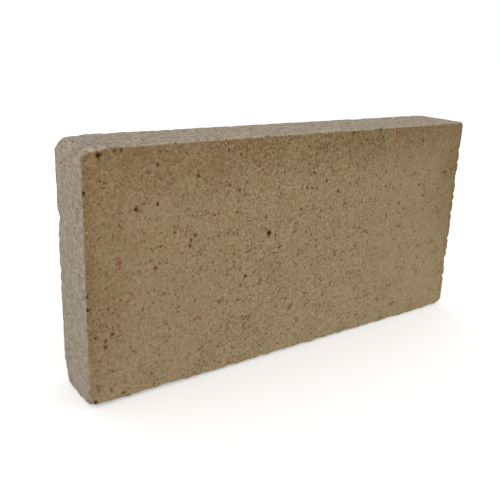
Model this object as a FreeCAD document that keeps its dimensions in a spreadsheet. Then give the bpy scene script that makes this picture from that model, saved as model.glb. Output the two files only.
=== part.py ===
# A split firebrick: one piece of fireclay, pressed in a mould and fired. It stands on a long
# edge, with X along its length, Y through its thickness and Z up. The origin is under the
# middle of the brick, on the surface that it stands on.
import FreeCAD
import Part
import Sketcher

import math
import os

NODE = "firebrick"

# Driving sizes, in millimetres.
SIZES = {
    "brick_length": 230.0,
    "brick_width": 114.0,
    "brick_thickness": 32.0,
    # The front large face keeps crisp arrises, and the back one comes out of the mould rounder.
    "front_arris_radius": 0.8,
    "back_arris_radius": 1.2,
    # How much rounder each corner of the outline is than the back arris that runs into it.
    "bottom_right_wear": 3.3,
    "top_right_wear": 1.8,
    "top_left_wear": 3.3,
    "bottom_left_wear": 0.2,
}

# Corners of the outline, anticlockwise, each a quarter turn on from the one before it.
CORNERS = ["bottom_right", "top_right", "top_left", "bottom_left"]
QUARTER_TURN = math.pi / 2
FRONT = FreeCAD.Vector(0, -1, 0)
BACK = FreeCAD.Vector(0, 1, 0)

# The sketcher's own numbers for a curve's first and last point, and for its X axis and origin.
START, END = 1, 2
X_AXIS = -1
ORIGIN = (-1, 1)


def make_sheet(doc):
    """The driving sizes, one named cell each."""
    sheet = doc.addObject("Spreadsheet::Sheet", "sizes")
    for row, (alias, size) in enumerate(SIZES.items(), start=1):
        sheet.set(f"A{row}", alias)
        sheet.set(f"B{row}", str(size))
        sheet.setAlias(f"B{row}", alias)
    doc.recompute()
    return sheet


def corner_arc(sheet, turn, corner):
    """The arc of one corner of the outline."""
    radius = sheet.back_arris_radius + sheet.get(f"{corner}_wear")
    reach = sheet.brick_length / 2 - radius
    x = reach if "right" in corner else -reach
    z = sheet.brick_width - radius if "top" in corner else radius
    circle = Part.Circle(FreeCAD.Vector(x, z, 0), FreeCAD.Vector(0, 0, 1), radius)
    return Part.ArcOfCircle(circle, (turn - 1) * QUARTER_TURN, turn * QUARTER_TURN)


def bind(sketch, name, constraint, expression):
    """Adds a named dimension to the sketch and ties it to the sheet."""
    index = sketch.addConstraint(constraint)
    sketch.renameConstraint(index, name)
    sketch.setExpression(f"Constraints.{name}", expression)


def draw_outline(body, sheet):
    """The large face's outline: a rectangle on the ground line, centred, with rounded corners."""
    sketch = body.newObject("Sketcher::SketchObject", "face_outline")
    plane = next(p for p in body.Origin.OriginFeatures if p.Role == "XZ_Plane")
    sketch.AttachmentSupport = [(plane, "")]
    sketch.MapMode = "FlatFace"

    curves = [corner_arc(sheet, turn, corner) for turn, corner in enumerate(CORNERS)]
    arcs = [sketch.addGeometry(curve, False) for curve in curves]
    # Each side runs from the end of the corner before it to the start of its own corner.
    sides = []
    for turn, curve in enumerate(curves):
        line = Part.LineSegment(curves[turn - 1].EndPoint, curve.StartPoint)
        side = sketch.addGeometry(line, False)
        sketch.addConstraint(Sketcher.Constraint("Tangent", arcs[turn - 1], END, side, START))
        sketch.addConstraint(Sketcher.Constraint("Tangent", side, END, arcs[turn], START))
        sides.append(side)

    bottom, right, top, left = sides
    for side in (bottom, top):
        sketch.addConstraint(Sketcher.Constraint("Horizontal", side))
    for side in (right, left):
        sketch.addConstraint(Sketcher.Constraint("Vertical", side))
    sketch.addConstraint(Sketcher.Constraint("PointOnObject", bottom, START, X_AXIS))

    half = Sketcher.Constraint("DistanceX", *ORIGIN, right, START, sheet.brick_length / 2)
    bind(sketch, "half_length", half, "sizes.brick_length / 2")
    length = Sketcher.Constraint("DistanceX", left, START, right, START, sheet.brick_length)
    bind(sketch, "length", length, "sizes.brick_length")
    width = Sketcher.Constraint("DistanceY", bottom, START, top, START, sheet.brick_width)
    bind(sketch, "width", width, "sizes.brick_width")
    for corner, arc, curve in zip(CORNERS, arcs, curves):
        radius = Sketcher.Constraint("Radius", arc, curve.Radius)
        bind(sketch, f"{corner}_radius", radius, f"sizes.back_arris_radius + sizes.{corner}_wear")
    return sketch


def face_towards(shape, direction):
    """The name of the face that lies furthest along a direction."""
    reach = [face.CenterOfMass.dot(direction) for face in shape.Faces]
    return f"Face{reach.index(max(reach)) + 1}"


def round_face(body, name, base, direction, radius_cell):
    """Rounds every arris of one large face."""
    fillet = body.newObject("PartDesign::Fillet", name)
    fillet.Base = (base, [face_towards(base.Shape, direction)])
    fillet.setExpression("Radius", f"sizes.{radius_cell}")
    body.Document.recompute()
    return fillet


def make_firebrick(doc, sheet):
    """The whole brick: its outline pressed to thickness, then the arrises of both large faces."""
    body = doc.addObject("PartDesign::Body", NODE)
    body.Label = NODE
    outline = draw_outline(body, sheet)
    doc.recompute()

    block = body.newObject("PartDesign::Pad", "pressed_block")
    block.Profile = outline
    block.SideType = "Symmetric"
    block.setExpression("Length", "sizes.brick_thickness")
    doc.recompute()

    crisp = round_face(body, "front_arris", block, FRONT, "front_arris_radius")
    worn = round_face(body, "back_arris", crisp, BACK, "back_arris_radius")
    body.Tip = worn
    body.Placement = FreeCAD.Placement()
    doc.recompute()
    return body


def check(doc, pieces):
    """Stops the build if a feature failed or a piece isn't one sound solid."""
    for item in doc.Objects:
        if {"Invalid", "Error"} & set(item.State):
            raise RuntimeError(f"{item.Name} failed: {item.State}")
    for piece in pieces:
        shape = piece.Shape
        if shape.isNull() or not shape.isValid() or len(shape.Solids) != 1:
            raise RuntimeError(f"{piece.Label} isn't one valid solid")


def write(pieces):
    os.makedirs("parts", exist_ok=True)
    for piece in pieces:
        piece.Shape.exportStep(f"parts/{piece.Label}.step")


doc = FreeCAD.newDocument("split_firebrick")
sheet = make_sheet(doc)
pieces = [make_firebrick(doc, sheet)]
check(doc, pieces)
write(pieces)
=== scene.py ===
import math

import bpy
from mathutils import Matrix, Vector


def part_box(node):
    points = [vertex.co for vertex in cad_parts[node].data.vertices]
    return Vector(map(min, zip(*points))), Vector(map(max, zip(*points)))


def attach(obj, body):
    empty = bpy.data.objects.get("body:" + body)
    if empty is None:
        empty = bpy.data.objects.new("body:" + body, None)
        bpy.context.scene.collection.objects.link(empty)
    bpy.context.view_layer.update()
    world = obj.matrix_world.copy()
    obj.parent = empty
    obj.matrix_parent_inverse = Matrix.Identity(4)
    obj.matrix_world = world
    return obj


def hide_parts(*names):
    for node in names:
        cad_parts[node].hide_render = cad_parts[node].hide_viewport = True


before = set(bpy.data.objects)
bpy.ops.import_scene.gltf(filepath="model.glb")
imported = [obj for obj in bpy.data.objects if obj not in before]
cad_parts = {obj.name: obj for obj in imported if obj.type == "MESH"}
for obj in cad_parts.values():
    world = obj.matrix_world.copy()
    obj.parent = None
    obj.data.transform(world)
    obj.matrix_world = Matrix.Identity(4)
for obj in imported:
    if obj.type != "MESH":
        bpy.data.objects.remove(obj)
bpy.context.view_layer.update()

# The firebrick
# One split of fireclay and crushed grog, pressed dry in a steel mould and fired hard. It is gritty all
# over, its arrises crumble, and a few of its corners were knocked in the stack.
MM = 0.001
BRICK = "firebrick"
low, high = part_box(BRICK)
brick_size = high - low
brick_half = brick_size / 2
brick_centre = low + brick_half

# The grid is twice as fine along the arrises. Waves, lumps and grains are pressed into every face, crumbs
# are lost from the arrises, and the left back arris has one notch.
PRESSED_SHAPE = {
    "Grid step": 1.0 * MM,
    "Fine margin": 4.0 * MM,
    "Wave length": 34.0 * MM,
    "Wave depth": 0.12 * MM,
    "Lump length": 6.0 * MM,
    "Lump depth": 0.12 * MM,
    "Grain length": 2.0 * MM,
    "Grain depth": 0.14 * MM,
    "Crumb length": 4.0 * MM,
    "Crumb depth": 0.85 * MM,
    "Clean crumb depth": 0.3 * MM,
    "Crumb reach": 2.6 * MM,
    "Break length": 5.0 * MM,
    "Break roughness": 0.6 * MM,
    "Break rounding": 1.0 * MM,
    "Notch height": 78.5 * MM,
    "Notch reach": 5.0 * MM,
    "Notch depth": 1.0 * MM,
    "Seed": 4.0,
}
# Knocked corners: the side each lies on along X, Y and Z, and how much the knock takes off each arris there.
# The last two are long and shallow, where the foot of the front is rubbed down.
KNOCKS = {
    "Left back top": ((-1, 1, 1), (16.0 * MM, 6.5 * MM, 6.5 * MM)),
    "Left back bottom": ((-1, 1, -1), (6.0 * MM, 6.0 * MM, 13.0 * MM)),
    "Left front top": ((-1, -1, 1), (13.0 * MM, 4.0 * MM, 4.0 * MM)),
    "Left front bottom": ((-1, -1, -1), (4.0 * MM, 9.0 * MM, 6.0 * MM)),
    "Right front bottom": ((1, -1, -1), (6.0 * MM, 3.0 * MM, 2.5 * MM)),
    "Right back top": ((1, 1, 1), (6.0 * MM, 5.0 * MM, 5.0 * MM)),
    "Left foot": ((-1, -1, -1), (300.0 * MM, 6.0 * MM, 2.0 * MM)),
    "Right foot": ((1, -1, -1), (40.0 * MM, 6.0 * MM, 1.4 * MM)),
}
# Each kind of relief takes its own part of the noise. Noise keeps mostly within a quarter of its middle, so
# the swing brings it to about 1 either way. Dents run over its middle, and crumbs are lost where it is high.
NOISE_TURNS = {"Break": 1.0, "Wave": 2.0, "Lump": 3.0, "Grain": 4.0, "Crumb": 5.0}
NOISE_MIDDLE = 0.5
NOISE_SWING = 4.0
DENTS = (0.25, 0.75)
CRUMBS = (0.5, 0.72)
# Where the front's top arris starts to be clean and where it is, as shares of the way from the middle.
CLEAN_FRONT = (-0.6, -0.8)
CLEAN_TOP = (0.9, 0.95)
# How much the slope of the surface counts in the direction that an arris wears away.
SLOPE_SHARE = 0.3


def add_node(tree, kind, inputs=None, **options):
    """Adds a node, sets its options and fills its inputs with values or links."""
    node = tree.nodes.new(kind)
    for name, value in options.items():
        setattr(node, name, value)
    for key, value in (inputs or {}).items():
        socket = node.inputs[key]
        if isinstance(value, bpy.types.NodeSocket):
            tree.links.new(value, socket)
        else:
            socket.default_value = value
    return node


def calc(tree, operation, *values):
    """The number that a Math node gives."""
    return add_node(tree, "ShaderNodeMath", dict(enumerate(values)), operation=operation).outputs[0]


def vector_calc(tree, operation, *values):
    """The vector that a Vector Math node gives."""
    return add_node(tree, "ShaderNodeVectorMath", dict(enumerate(values)), operation=operation).outputs[0]


def gauge(tree, operation, *values):
    """The number that a Vector Math node gives, such as a length."""
    node = add_node(tree, "ShaderNodeVectorMath", dict(enumerate(values)), operation=operation)
    return node.outputs["Value"]


def times(tree, vector, factor):
    """A vector made longer or shorter by a factor."""
    inputs = {0: vector, "Scale": factor}
    return add_node(tree, "ShaderNodeVectorMath", inputs, operation="SCALE").outputs[0]


def split(tree, vector):
    """The X, Y and Z of a vector."""
    return add_node(tree, "ShaderNodeSeparateXYZ", {0: vector}).outputs


def fade(tree, value, start, end):
    """Runs smoothly from 0 where the value is at its start to 1 where it is at its end."""
    inputs = {"Value": value, "From Min": start, "From Max": end}
    node = add_node(tree, "ShaderNodeMapRange", inputs, interpolation_type="SMOOTHSTEP")
    return node.outputs["Result"]


def noise(tree, place, scale, detail=1.0):
    """Noise from 0 to 1, whose lumps are about 1 / scale across."""
    inputs = {"Vector": place, "Scale": scale, "Detail": detail}
    return add_node(tree, "ShaderNodeTexNoise", inputs).outputs[0]


def move(tree, shape, place):
    """The shape with each of its points moved to a place."""
    return add_node(tree, "GeometryNodeSetPosition", {"Geometry": shape, "Position": place}).outputs[0]


def shape_noise(tree, place, given, size):
    """Noise with lumps of a named size, from the part of it that the seed and the size's turn pick."""
    shifted = vector_calc(tree, "ADD", place, calc(tree, "ADD", given["Seed"], NOISE_TURNS[size]))
    return noise(tree, shifted, calc(tree, "DIVIDE", 1.0, given[f"{size} length"]))


def off_centre(tree, place, given):
    """Where a place lies, counted from the middle of the brick."""
    return vector_calc(tree, "SUBTRACT", place, given["Centre"])


def below_faces(tree, place, given, half):
    """How far in a place lies from the nearer face along each of X, Y and Z."""
    from_middle = vector_calc(tree, "ABSOLUTE", off_centre(tree, place, given))
    return vector_calc(tree, "SUBTRACT", half, from_middle)


def arris_grid(tree, given, half):
    """A closed block of squares, which are half as large within the fine margin of each arris."""
    twice_margin = calc(tree, "MULTIPLY", given["Fine margin"], 2.0)
    wide = vector_calc(tree, "ADD", given["Size"], twice_margin)
    inputs = {"Size": wide}
    for axis, side in zip("XYZ", split(tree, wide)):
        squares = calc(tree, "ROUND", calc(tree, "DIVIDE", side, given["Grid step"]))
        inputs[f"Vertices {axis}"] = calc(tree, "ADD", squares, 1.0)
    block = add_node(tree, "GeometryNodeMeshCube", inputs).outputs["Mesh"]

    place = add_node(tree, "GeometryNodeInputPosition").outputs[0]
    from_middle = vector_calc(tree, "ABSOLUTE", place)
    from_edge = vector_calc(tree, "SUBTRACT", times(tree, wide, 0.5), from_middle)
    in_margin = vector_calc(tree, "MINIMUM", from_edge, twice_margin)
    squeezed = vector_calc(tree, "SUBTRACT", from_edge, times(tree, in_margin, 0.5))
    reach = vector_calc(tree, "SUBTRACT", half, squeezed)
    side = vector_calc(tree, "SIGN", place)
    return move(tree, block, vector_calc(tree, "MULTIPLY_ADD", reach, side, given["Centre"]))


def edge_distance(tree, place, given, half):
    """How far a place on the brick is from the nearest of its arrises."""
    inward = below_faces(tree, place, given, half)
    x, y, z = split(tree, inward)
    widest = calc(tree, "MAXIMUM", calc(tree, "MAXIMUM", x, y), z)
    square = gauge(tree, "DOT_PRODUCT", inward, inward)
    rest = calc(tree, "SUBTRACT", square, calc(tree, "MULTIPLY", widest, widest))
    return calc(tree, "SQRT", calc(tree, "MAXIMUM", rest, 0.0))


def knocked(tree, place, given, half):
    """Moves what stands beyond each knocked corner back to a rough, rounded break."""
    level = calc(tree, "SUBTRACT", shape_noise(tree, place, given, "Break"), NOISE_MIDDLE)
    swing = calc(tree, "MULTIPLY", given["Break roughness"], NOISE_SWING)
    unevenness = calc(tree, "MULTIPLY", level, swing)
    for name, (sides, _) in KNOCKS.items():
        corner = vector_calc(tree, "MULTIPLY_ADD", sides, half, given["Centre"])
        slope = vector_calc(tree, "DIVIDE", sides, given[name])
        outward = vector_calc(tree, "NORMALIZE", slope)
        depth = calc(tree, "DIVIDE", 1.0, gauge(tree, "LENGTH", slope))
        height = gauge(tree, "DOT_PRODUCT", vector_calc(tree, "SUBTRACT", place, corner), outward)
        above = calc(tree, "ADD", calc(tree, "ADD", height, depth), unevenness)
        beyond = calc(tree, "SMOOTH_MAX", above, 0.0, given["Break rounding"])
        place = vector_calc(tree, "SUBTRACT", place, times(tree, outward, beyond))
    return place


def crumb_depth(tree, place, given, half):
    """How deep the lost crumbs are: less along the front's top arris, which left the mould clean."""
    share = split(tree, vector_calc(tree, "DIVIDE", off_centre(tree, place, given), half))
    clean = calc(tree, "MULTIPLY", fade(tree, share["Y"], *CLEAN_FRONT), fade(tree, share["Z"], *CLEAN_TOP))
    less = calc(tree, "SUBTRACT", given["Clean crumb depth"], given["Crumb depth"])
    return calc(tree, "MULTIPLY_ADD", clean, less, given["Crumb depth"])


def notch(tree, place, given, half):
    """Depth of the one notch in the left back arris, some way up it."""
    foot = vector_calc(tree, "MULTIPLY_ADD", (-1.0, 1.0, -1.0), half, given["Centre"])
    up = add_node(tree, "ShaderNodeCombineXYZ", {"Z": given["Notch height"]}).outputs[0]
    away = gauge(tree, "DISTANCE", place, vector_calc(tree, "ADD", foot, up))
    return calc(tree, "MULTIPLY", fade(tree, away, given["Notch reach"], 0.0), given["Notch depth"])


def pressed_relief(tree, place, given, half):
    """Depth of the waves, lumps and grains in the faces, and of the notch and crumbs in the arrises."""
    depth = notch(tree, place, given, half)
    for size in ("Wave", "Lump", "Grain"):
        dents = fade(tree, shape_noise(tree, place, given, size), *DENTS)
        depth = calc(tree, "MULTIPLY_ADD", dents, given[f"{size} depth"], depth)
    at_edge = fade(tree, edge_distance(tree, place, given, half), given["Crumb reach"], 0.0)
    crumbs = fade(tree, shape_noise(tree, place, given, "Crumb"), *CRUMBS)
    lost = calc(tree, "MULTIPLY", at_edge, crumbs)
    return calc(tree, "MULTIPLY_ADD", lost, crumb_depth(tree, place, given, half), depth)


def worn_outward(tree, place, given, half):
    """Out of each face and break, and turning smoothly from one face to the next along the arrises."""
    shares = vector_calc(tree, "DIVIDE", below_faces(tree, place, given, half), given["Crumb reach"])
    near = vector_calc(tree, "SUBTRACT", (1.0, 1.0, 1.0), shares)
    near = vector_calc(tree, "MAXIMUM", near, (0.0, 0.0, 0.0))
    side = vector_calc(tree, "SIGN", off_centre(tree, place, given))
    normal = times(tree, add_node(tree, "GeometryNodeInputNormal").outputs[0], SLOPE_SHARE)
    return vector_calc(tree, "NORMALIZE", vector_calc(tree, "MULTIPLY_ADD", near, side, normal))


def pressed_clay_tree():
    """Wraps the grid on the solid, knocks its corners, and presses the relief into it."""
    tree = bpy.data.node_groups.new("pressed_clay", "GeometryNodeTree")
    sockets = {"Solid": "Object", "Size": "Vector", "Centre": "Vector", "Clay": "Material"}
    sockets |= {name: "Float" for name in PRESSED_SHAPE}
    sockets |= {name: "Vector" for name in KNOCKS}
    for name, kind in sockets.items():
        tree.interface.new_socket(name, in_out="INPUT", socket_type=f"NodeSocket{kind}")
    tree.interface.new_socket("Brick", in_out="OUTPUT", socket_type="NodeSocketGeometry")
    given = add_node(tree, "NodeGroupInput").outputs
    half = times(tree, given["Size"], 0.5)

    solid = add_node(tree, "GeometryNodeObjectInfo", {"Object": given["Solid"]}).outputs["Geometry"]
    nearest = add_node(tree, "GeometryNodeProximity", {"Geometry": solid}).outputs["Position"]
    shape = move(tree, arris_grid(tree, given, half), nearest)

    # The material reads how deep each place lies below the skin of the nearer large face, in millimetres.
    place = add_node(tree, "GeometryNodeInputPosition").outputs[0]
    broken = knocked(tree, place, given, half)
    below_skin = split(tree, below_faces(tree, place, given, half))["Y"]
    depth = calc(tree, "ADD", below_skin, gauge(tree, "DISTANCE", place, broken))
    inputs = {"Geometry": shape, "Name": "under_skin", "Value": calc(tree, "DIVIDE", depth, MM)}
    shape = add_node(tree, "GeometryNodeStoreNamedAttribute", inputs).outputs[0]
    shape = move(tree, shape, broken)

    outward = worn_outward(tree, place, given, half)
    relief = times(tree, outward, pressed_relief(tree, place, given, half))
    shape = move(tree, shape, vector_calc(tree, "SUBTRACT", place, relief))
    shape = add_node(tree, "GeometryNodeSetShadeSmooth", {"Geometry": shape}).outputs[0]
    shape = add_node(tree, "GeometryNodeRealizeInstances", {"Geometry": shape}).outputs[0]
    inputs = {"Geometry": shape, "Material": given["Clay"]}
    shape = add_node(tree, "GeometryNodeSetMaterial", inputs).outputs[0]
    add_node(tree, "NodeGroupOutput", {"Brick": shape})
    return tree


# Colours of the fired clay: the buff skin of the two large faces with its browner margins and its stains, the
# paler and greyer clay of the edges and ends with its pink stains, and the iron and the pale grog in both.
FACE_BUFF = (0.275, 0.207, 0.112, 1.0)
# The foot colour is painted light: the foot of each large face is made paler, as if lit from below by the
# floor.
FACE_FOOT_PAINTED_LIGHT = (0.311, 0.238, 0.133, 1.0)
FACE_BROWN = (0.187, 0.126, 0.057, 1.0)
FACE_RED = (0.278, 0.178, 0.098, 1.0)
FACE_OLIVE = (0.250, 0.199, 0.098, 1.0)
FACE_SCORCH = (0.200, 0.126, 0.061, 1.0)
EDGE_GREY = (0.320, 0.270, 0.207, 1.0)
EDGE_PINK = (0.395, 0.318, 0.240, 1.0)
IRON_BROWN = (0.075, 0.035, 0.002, 1.0)
SPOT_DARK = (0.018, 0.007, 0.001, 1.0)
IRON_RUST = (0.065, 0.030, 0.005, 1.0)
GROG_PALE = (0.470, 0.400, 0.290, 1.0)
GRAIN_TINT = (0.32, 0.27, 0.20)
CLAY_ROUGHNESS = 0.92
CLAY_SPECULAR = 0.06

# Patterns in the clay: how long their lumps are in millimetres, the part of the noise that each takes, and
# its levels of detail.
CLAY_PATTERNS = {
    "drift": (18.0, 3.0, 2.0),
    "stain": (5.5, 21.0, 2.0),
    "olive": (11.0, 33.0, 2.0),
    "ragged line": (1.6, 40.0, 1.0),
    "fine grain": (0.62, 51.0, 1.0),
    "coarse grain": (1.8, 57.0, 1.0),
    "speck": (1.3, 63.0, 1.0),
    "grog": (1.0, 71.0, 1.0),
    "blot": (1.9, 77.0, 1.0),
    "spot rim": (0.9, 83.0, 1.0),
    "mottle": (4.0, 91.0, 1.0),
}
# Where each change in the clay starts and where it is full.
CLAY_RANGES = {
    # Along X from the middle of the brick, in millimetres.
    "stained left": (10.0, -110.0),
    "stained right": (90.0, 110.0),
    "warm left": (30.0, -90.0),
    "brown along top": (700.0, -100.0),
    "pink along top": (-115.0, -60.0),
    "grainy from left": (-90.0, -25.0),
    "grainy from right": (100.0, 25.0),
    "smooth right": (10.0, 80.0),
    # Up from the foot, in millimetres.
    # The paler foot is painted light from below.
    "painted light at foot": (70.0, 0.0),
    "brown up ends": (0.0, 80.0),
    "scorched up ends": (-50.0, 90.0),
    # In from the nearer end, the top or the skin, in millimetres.
    "brown margin": (32.0, 0.0),
    "scorched end": (6.0, 1.5),
    "top edge": (3.0, 0.5),
    # The rubbed top is partly a painted highlight along the rounded top arris.
    "rubbed and lit top": (1.6, 0.7),
    "skin": (1.4, 0.1),
    # Up the height of a pattern.
    "red": (0.55, 0.75),
    "olive": (0.52, 0.66),
    "grog": (0.61, 0.76),
    "pepper": (0.90, 1.03),
    "blot": (0.71, 0.80),
}
# The edges and ends slid on the walls of the mould, so their grain is drawn out along the press stroke.
DRAW = 0.45

# The plainest iron spots on the front face, with one plain dark mark at the tip of its knocked left foot, the
# plainest brown ones and the plainest rusty ones: where each lies along X and Z, and its radius, in
# millimetres.
DARK_SPOTS = [
    (-23, 66.5, 1.7),
    (-108, 110.5, 1.5),
    (-92.5, 87, 1.2),
    (-36, 47, 1.1),
    (-82.5, 88, 0.9),
    (-114.5, 96, 1.0),
    (-114.5, 52.5, 1.0),
    (-114.5, 46.8, 1.1),
    # A dark mark at the tip of the knocked left front foot.
    (-112.5, 3, 1.3),
]
BROWN_SPOTS = [
    (28, 112, 1.2),
    (47, 112.5, 1.2),
    (49, 108.5, 1.3),
    (50, 106.8, 1.1),
    (66.5, 70.5, 1.2),
    (71, 67, 1.1),
    (79.5, 110, 1.1),
    (81, 105, 1.6),
    (82, 80, 1.2),
    (103, 85, 1.7),
    (-37, 93, 1.1),
    (-7, 69, 1.2),
    (-10.5, 30, 1.2),
    (-12, 10.5, 1.1),
    (-105.5, 45.5, 0.9),
]
RUST_SPOTS = [
    (-101, 111.8, 1.7),
    (-98.5, 111.8, 1.4),
    (-82.5, 104.5, 1.5),
    (-105.5, 99, 1.2),
    (-63, 98.5, 1.5),
    (-47.5, 108.5, 1.3),
    (-41, 106, 1.2),
    (-41, 89.5, 1.5),
    (-46.5, 92.5, 1.5),
    (-66.5, 67, 1.5),
    (-66, 69.5, 1.3),
    (-64, 71.5, 1.3),
    (-74.5, 74, 1.2),
    (-83.5, 59.5, 1.4),
    (-81, 69, 1.1),
    (-25, 75, 1.2),
    (3.5, 93.5, 1.4),
    (-1, 86.5, 1.4),
    (20, 82.5, 1.5),
    (11.5, 89, 1.3),
    (-4, 76, 1.3),
    (-99.5, 4, 1.3),
    (-107.5, 28, 1.6),
    (-107, 31, 1.4),
    (-111.5, 33.5, 1.3),
    (-104, 33.5, 1.5),
]
# How far the stain round a rusty spot and the rust round a dark spot spread, in radii of the spot, and the
# share of its radius that a spot's full middle takes.
STAIN_SPREAD = 2.4
RUST_SPREAD = 1.4
FULL_SPOT = 0.15
# How far a spot's rim wanders over its noise, in millimetres.
SPOT_WOBBLE = 1.8
# A Mix node has sockets for every kind of value. These are the ones that mix colours.
MIX_SHARE = 0
MIX_FIRST = 6
MIX_SECOND = 7
MIX_RESULT = 2


def mix(tree, share, first, second):
    """One colour with a share of a second laid over it."""
    inputs = {MIX_SHARE: share, MIX_FIRST: first, MIX_SECOND: second}
    return add_node(tree, "ShaderNodeMix", inputs, data_type="RGBA").outputs[MIX_RESULT]


def clay_noise(tree, place, pattern):
    """One of the patterns in the clay, from 0 to 1."""
    length, turn, detail = CLAY_PATTERNS[pattern]
    shifted = vector_calc(tree, "ADD", place, (turn, turn, turn))
    return noise(tree, shifted, 1.0 / length, detail)


def clay_swing(tree, place, pattern):
    """One of the patterns in the clay, from half below to half above its middle."""
    return calc(tree, "SUBTRACT", clay_noise(tree, place, pattern), NOISE_MIDDLE)


def within(tree, value, name):
    """How far a value has come through one of the clay's ranges, from 0 to 1."""
    return fade(tree, value, *CLAY_RANGES[name])


def to_top(tree, z):
    """How far below the top of the brick a height lies, in millimetres."""
    return calc(tree, "SUBTRACT", brick_size.z / MM, z)


def to_end(tree, x):
    """How far in from the nearer end of the brick a place lies, in millimetres."""
    return calc(tree, "SUBTRACT", brick_half.x / MM, calc(tree, "ABSOLUTE", x))


def spots_at(tree, place, marks, spread=1.0):
    """1 in the middle of each mark on the front face, fading to 0 at its uneven rim, which may spread."""
    wobble = calc(tree, "MULTIPLY", clay_swing(tree, place, "spot rim"), SPOT_WOBBLE)
    spots = 0.0
    for x, z, radius in marks:
        away = gauge(tree, "DISTANCE", place, (x, low.y / MM, z))
        spot = fade(tree, calc(tree, "ADD", away, wobble), radius * spread, FULL_SPOT * radius)
        spots = calc(tree, "MAXIMUM", spots, spot)
    return spots


# The red stains come more easily at the left and by the right end, by these heights of their pattern.
REDDER_LEFT = 0.035
REDDER_RIGHT = 0.05


def red_stains(tree, place, stain):
    """Reddish stains, more of them at the left and by the right end, and one round each rusty spot."""
    x = split(tree, place)["X"]
    right = calc(tree, "MULTIPLY", within(tree, x, "stained right"), REDDER_RIGHT)
    redder = calc(tree, "MULTIPLY_ADD", within(tree, x, "stained left"), REDDER_LEFT, right)
    red = within(tree, calc(tree, "ADD", stain, redder), "red")
    return calc(tree, "MAXIMUM", red, spots_at(tree, place, RUST_SPOTS, spread=STAIN_SPREAD))


# The tones of the skin lie lower towards the left, and its brown margins drift in and out by millimetres.
TONE_TILT = -0.15
MARGIN_DRIFT = 16.0
# How much of each colour there is where it is full.
END_MARGIN_SHARE = 0.85
OLIVE_SHARE = 0.6
WARM_SHARE = 0.2
RED_SHARE = 0.68
SCORCH_SHARE = 0.6


def face_colour(tree, place, red):
    """The skin of a large face: paler at its foot and to the right, which is painted light from below, and
    browner along its top and ends.
    """
    x, _, z = split(tree, place)
    rise = calc(tree, "MULTIPLY_ADD", x, TONE_TILT, z)
    drift = calc(tree, "MULTIPLY", clay_swing(tree, place, "drift"), MARGIN_DRIFT)
    by_top = within(tree, calc(tree, "ADD", to_top(tree, z), drift), "brown margin")
    by_end = within(tree, calc(tree, "ADD", to_end(tree, x), drift), "brown margin")
    top_margin = calc(tree, "MULTIPLY", by_top, within(tree, x, "brown along top"))
    end_margin = calc(tree, "MULTIPLY", by_end, within(tree, rise, "brown up ends"))
    margin = calc(tree, "MAXIMUM", top_margin, calc(tree, "MULTIPLY", end_margin, END_MARGIN_SHARE))
    # Painted light: the face grows paler towards its foot, as if lit from below.
    face = mix(tree, within(tree, rise, "painted light at foot"), FACE_BUFF, FACE_FOOT_PAINTED_LIGHT)
    face = mix(tree, margin, face, FACE_BROWN)
    olive = within(tree, clay_noise(tree, place, "olive"), "olive")
    face = mix(tree, calc(tree, "MULTIPLY", olive, OLIVE_SHARE), face, FACE_OLIVE)
    warmth = calc(tree, "MULTIPLY", within(tree, x, "warm left"), WARM_SHARE)
    face = mix(tree, calc(tree, "MULTIPLY_ADD", red, RED_SHARE, warmth), face, FACE_RED)
    at_end = within(tree, to_end(tree, x), "scorched end")
    scorch = calc(tree, "MULTIPLY", at_end, within(tree, z, "scorched up ends"))
    return mix(tree, calc(tree, "MULTIPLY", scorch, SCORCH_SHARE), face, FACE_SCORCH)


# How pink a stain on an edge is, how much pinker it is on the top one, and how pink that one is without it.
PINK_STAIN = 0.4
PINKER_STAIN = 0.6
PINK_TOP = 0.3


def edge_colour(tree, x, on_top, red):
    """The bare clay of the edges and ends. The top edge is the pinkest, but not at its left end."""
    pinker = calc(tree, "MULTIPLY", on_top, within(tree, x, "pink along top"))
    pink = calc(tree, "MULTIPLY", red, calc(tree, "MULTIPLY_ADD", pinker, PINKER_STAIN, PINK_STAIN))
    return mix(tree, calc(tree, "MULTIPLY_ADD", pinker, PINK_TOP, pink), EDGE_GREY, EDGE_PINK)


# What the rub along the top takes off, in millimetres, with a painted highlight where the rounded top arris
# catches the light, and how the ragged line stretches the skin's depth.
TOP_RUB_AND_HIGHLIGHT = 1.2
RAGGED_LEAST = 0.75
RAGGED_MORE = 0.5


def skin_cover(tree, place, z):
    """1 on the skin. It thins out over the arrises along a slightly ragged line, is rubbed off the top one
    and is gone from the breaks. The bare band along the top arris is partly rubbed clay and partly a painted
    highlight where that rounded arris catches the light."""
    under_skin = add_node(tree, "ShaderNodeAttribute", attribute_name="under_skin").outputs["Fac"]
    # The rub along the top is partly a painted highlight of the rounded arris.
    under_skin = calc(tree, "MULTIPLY_ADD", within(tree, to_top(tree, z), "rubbed and lit top"), TOP_RUB_AND_HIGHLIGHT, under_skin)
    line = clay_noise(tree, place, "ragged line")
    ragged = calc(tree, "MULTIPLY_ADD", line, RAGGED_MORE, RAGGED_LEAST)
    return within(tree, calc(tree, "MULTIPLY", under_skin, ragged), "skin")


# Strength of the grain on the edges and ends, and what the skin, the skin's middle and its right add to it.
# The grain is part fine and part coarse, and below the skin the clay is mottled too.
EDGE_GRAIN = 1.3
SKIN_GRAIN = -0.5
MIDDLE_GRAIN = 0.37
RIGHT_GRAIN = -0.3
FINE_SHARE = 0.65
COARSE_SHARE = 0.6
MOTTLE_SHARE = 0.6


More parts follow.
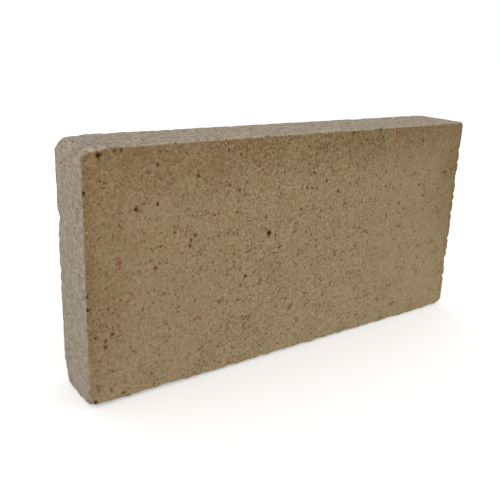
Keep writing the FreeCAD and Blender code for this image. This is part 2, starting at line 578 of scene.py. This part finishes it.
def clay_grain(tree, place, fine, coarse, middle, on_skin):
    """Light and dark of the crushed clay, strongest on the edges, and on the skin in its middle."""
    x = split(tree, place)["X"]
    on_face = calc(tree, "MULTIPLY_ADD", middle, MIDDLE_GRAIN, SKIN_GRAIN)
    on_face = calc(tree, "MULTIPLY_ADD", within(tree, x, "smooth right"), RIGHT_GRAIN, on_face)
    strength = calc(tree, "MULTIPLY_ADD", on_skin, on_face, EDGE_GRAIN)
    bare = calc(tree, "MULTIPLY_ADD", on_skin, -MOTTLE_SHARE, MOTTLE_SHARE)
    mottle = calc(tree, "MULTIPLY", clay_swing(tree, place, "mottle"), bare)
    grain = calc(tree, "MULTIPLY_ADD", coarse, COARSE_SHARE, calc(tree, "MULTIPLY", fine, FINE_SHARE))
    return calc(tree, "MULTIPLY_ADD", grain, strength, mottle)


# How much of the grog shows, and how much more of it in the middle.
GROG_SHARE = 0.42
GROG_MIDDLE = 0.25
# Iron specks: how much the red stains thicken them, how much the skin and the top edge do, how dark they
# are, and how much darker in the middle. Their darkening is partly iron and partly painted shade in their
# pits.
SPECK_STAIN = 0.5
SPECK_SKIN = 0.03
SPECK_TOP = 0.05
SPECK_SHARE = 0.62
SPECK_MIDDLE = 0.12
# How much of its colour each kind of larger spot takes.
BLOT_SHARE = 0.6
BROWN_SHARE = 0.9
RUST_SHARE = 0.85
# Relief too fine for the mesh, in millimetres: from the lowest to the highest of each grain, and the pits at
# the iron specks.
FINE_RELIEF = 0.25
COARSE_RELIEF = 0.35
SPECK_PIT = -0.15
RELIEF_STRENGTH = 0.8


def larger_spots(tree, place, drawn, thicker, colour):
    """Melted blots of iron in the clay, then the plainest brown, rusty and dark spots of the front."""
    blot = within(tree, calc(tree, "ADD", clay_noise(tree, drawn, "blot"), thicker), "blot")
    blot = calc(tree, "MULTIPLY", blot, BLOT_SHARE)
    brown = calc(tree, "MULTIPLY", spots_at(tree, place, BROWN_SPOTS), BROWN_SHARE)
    colour = mix(tree, calc(tree, "MAXIMUM", blot, brown), colour, IRON_BROWN)
    round_dark = spots_at(tree, place, DARK_SPOTS, spread=RUST_SPREAD)
    rust = calc(tree, "MAXIMUM", spots_at(tree, place, RUST_SPOTS), round_dark)
    colour = mix(tree, calc(tree, "MULTIPLY", rust, RUST_SHARE), colour, IRON_RUST)
    return mix(tree, spots_at(tree, place, DARK_SPOTS), colour, SPOT_DARK)


def fireclay():
    """The fired clay: skin over bare clay, then grain, grog and iron in both, and their fine relief."""
    clay = bpy.data.materials.new("fireclay")
    clay.use_nodes = True
    tree = clay.node_tree
    shader = tree.nodes["Principled BSDF"]
    shader.inputs["Roughness"].default_value = CLAY_ROUGHNESS
    shader.inputs["Specular IOR Level"].default_value = CLAY_SPECULAR

    metres = add_node(tree, "ShaderNodeTexCoord").outputs["Object"]
    place = times(tree, metres, 1.0 / MM)
    x, _, z = split(tree, place)
    # The front face keeps its place in the drawn-out clay, so that its own grain isn't shifted.
    drawn = vector_calc(
        tree, "MULTIPLY_ADD", place, (1.0, DRAW, 1.0), (0.0, (1.0 - DRAW) * low.y / MM, 0.0)
    )

    stain = clay_noise(tree, place, "stain")
    red = red_stains(tree, place, stain)
    on_top = within(tree, to_top(tree, z), "top edge")
    on_skin = skin_cover(tree, place, z)
    colour = mix(tree, on_skin, edge_colour(tree, x, on_top, red), face_colour(tree, place, red))

    middle = calc(
        tree, "MULTIPLY", within(tree, x, "grainy from left"), within(tree, x, "grainy from right")
    )
    fine = clay_swing(tree, drawn, "fine grain")
    coarse = clay_swing(tree, drawn, "coarse grain")
    grain = clay_grain(tree, place, fine, coarse, middle, on_skin)
    colour = vector_calc(tree, "MULTIPLY_ADD", GRAIN_TINT, grain, colour)
    grog = within(tree, clay_noise(tree, drawn, "grog"), "grog")
    grog = calc(tree, "MULTIPLY", grog, calc(tree, "MULTIPLY_ADD", middle, GROG_MIDDLE, GROG_SHARE))
    colour = mix(tree, grog, colour, GROG_PALE)

    # Iron specks are thicker in the red stains, on the skin and on the top edge, and darkest in the middle.
    # Their darkening is partly iron and partly painted shade in the pits they sit in.
    speck = calc(tree, "MULTIPLY_ADD", stain, SPECK_STAIN, clay_noise(tree, drawn, "speck"))
    on_face = calc(tree, "MULTIPLY", on_skin, SPECK_SKIN)
    thicker = calc(tree, "MAXIMUM", on_face, calc(tree, "MULTIPLY", on_top, SPECK_TOP))
    pepper = within(tree, calc(tree, "ADD", speck, thicker), "pepper")
    darkness = calc(tree, "MULTIPLY_ADD", middle, SPECK_MIDDLE, SPECK_SHARE)
    colour = mix(tree, calc(tree, "MULTIPLY", pepper, darkness), colour, IRON_BROWN)
    colour = larger_spots(tree, place, drawn, thicker, colour)
    tree.links.new(colour, shader.inputs["Base Color"])

    height = calc(tree, "MULTIPLY_ADD", fine, FINE_RELIEF, calc(tree, "MULTIPLY", coarse, COARSE_RELIEF))
    height = calc(tree, "MULTIPLY_ADD", pepper, SPECK_PIT, height)
    inputs = {"Height": height, "Distance": MM, "Strength": RELIEF_STRENGTH}
    tree.links.new(add_node(tree, "ShaderNodeBump", inputs).outputs[0], shader.inputs["Normal"])
    return clay


def settle(piece, tree, inputs):
    """Runs a shape tree on a piece and keeps the result as its plain mesh."""
    modifier = piece.modifiers.new("shape", "NODES")
    modifier.node_group = tree
    for socket in tree.interface.items_tree:
        if socket.in_out == "INPUT":
            modifier[socket.identifier] = inputs[socket.name]
    evaluated = piece.evaluated_get(bpy.context.evaluated_depsgraph_get())
    mesh = bpy.data.meshes.new_from_object(evaluated)
    piece.modifiers.remove(modifier)
    piece.data = mesh


brick = bpy.data.objects.new("pressed_firebrick", bpy.data.meshes.new("pressed_firebrick"))
bpy.context.collection.objects.link(brick)
brick_inputs = {"Solid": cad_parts[BRICK], "Size": brick_size, "Centre": brick_centre}
brick_inputs |= {"Clay": fireclay()} | PRESSED_SHAPE
brick_inputs |= {name: legs for name, (_, legs) in KNOCKS.items()}
settle(brick, pressed_clay_tree(), brick_inputs)
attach(brick, "root")
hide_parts(BRICK)

# The floor
# A pale studio board that the brick stands on. The camera sees it as white, and it still takes the brick's
# shadow.
FLOOR_WIDTH = 8.0
FLOOR_COLOUR = (0.92, 0.92, 0.92, 1.0)
WHITE = (1.0, 1.0, 1.0, 1.0)
CAMERA_LIFT = 0.25

floor_mesh = bpy.data.meshes.new("floor")
reach = FLOOR_WIDTH / 2
floor_corners = [(-reach, -reach, 0.0), (reach, -reach, 0.0), (reach, reach, 0.0), (-reach, reach, 0.0)]
floor_mesh.from_pydata(floor_corners, [], [(0, 1, 2, 3)])
floor = bpy.data.objects.new("floor", floor_mesh)
bpy.context.collection.objects.link(floor)


def seen_rays(tree):
    """1 for the rays that show a surface to the camera, straight or by gloss or glass, and 0 for light."""
    rays = add_node(tree, "ShaderNodeLightPath").outputs
    mirrored = calc(tree, "MAXIMUM", rays["Is Glossy Ray"], rays["Is Transmission Ray"])
    return calc(tree, "MAXIMUM", rays["Is Camera Ray"], mirrored)


board = bpy.data.materials.new("studio_board")
board.use_nodes = True
board_shader = board.node_tree.nodes["Principled BSDF"]
board_shader.inputs["Base Color"].default_value = FLOOR_COLOUR
board_shader.inputs["Roughness"].default_value = 1.0
board_shader.inputs["Specular IOR Level"].default_value = 0.0
board_shader.inputs["Emission Color"].default_value = WHITE
lift = calc(board.node_tree, "MULTIPLY", seen_rays(board.node_tree), CAMERA_LIFT)
board.node_tree.links.new(lift, board_shader.inputs["Emission Strength"])
floor.data.materials.append(board)

# The light
# A white studio tent all round, and one large soft lamp above and behind the camera.
# The camera sees the tent as plain white.
TENT_LIGHT = 0.88
KEY_POWER = 7.5
KEY_WIDTH = 1.2
KEY_PLACE = Vector((-0.9, -1.3, 0.9))

world = bpy.data.worlds.new("studio")
bpy.context.scene.world = world
world.use_nodes = True
tent = world.node_tree
tent_strength = calc(tent, "MULTIPLY_ADD", seen_rays(tent), 1.0 - TENT_LIGHT, TENT_LIGHT)
tent.nodes["Background"].inputs["Color"].default_value = WHITE
tent.links.new(tent_strength, tent.nodes["Background"].inputs["Strength"])

key_data = bpy.data.lights.new("key", "AREA")
key_data.energy = KEY_POWER
key_data.size = KEY_WIDTH
key = bpy.data.objects.new("key", key_data)
bpy.context.collection.objects.link(key)
key.location = KEY_PLACE
key.rotation_euler = (brick_centre - KEY_PLACE).to_track_quat("-Z", "Y").to_euler()

# The camera
# It stands close to the brick, off its left end and a little above it, and looks down at the front face. The
# photo is cropped a little off its optical centre, which the shift follows.
PICTURE = 500
FOCAL_PIXELS = 640.1
SENSOR_WIDTH = 36.0
NEAR_CLIP = 0.01
EYE = Vector((-201.5, -249.2, 157.55)) * MM
AZIMUTH = math.radians(35.58)
ELEVATION = math.radians(16.58)
ROLL = math.radians(2.27)
CROP_SHIFT = -0.05

camera_data = bpy.data.cameras.new("camera")
camera_data.sensor_width = SENSOR_WIDTH
camera_data.lens = SENSOR_WIDTH * FOCAL_PIXELS / PICTURE
camera_data.shift_y = CROP_SHIFT
camera_data.clip_start = NEAR_CLIP
camera = bpy.data.objects.new("camera", camera_data)
bpy.context.collection.objects.link(camera)
camera.matrix_world = (
    Matrix.Translation(EYE)
    @ Matrix.Rotation(-AZIMUTH, 4, "Z")
    @ Matrix.Rotation(math.pi / 2 - ELEVATION, 4, "X")
    @ Matrix.Rotation(ROLL, 4, "Z")
)
bpy.context.scene.camera = camera
bpy.context.scene.view_settings.view_transform = "Standard"
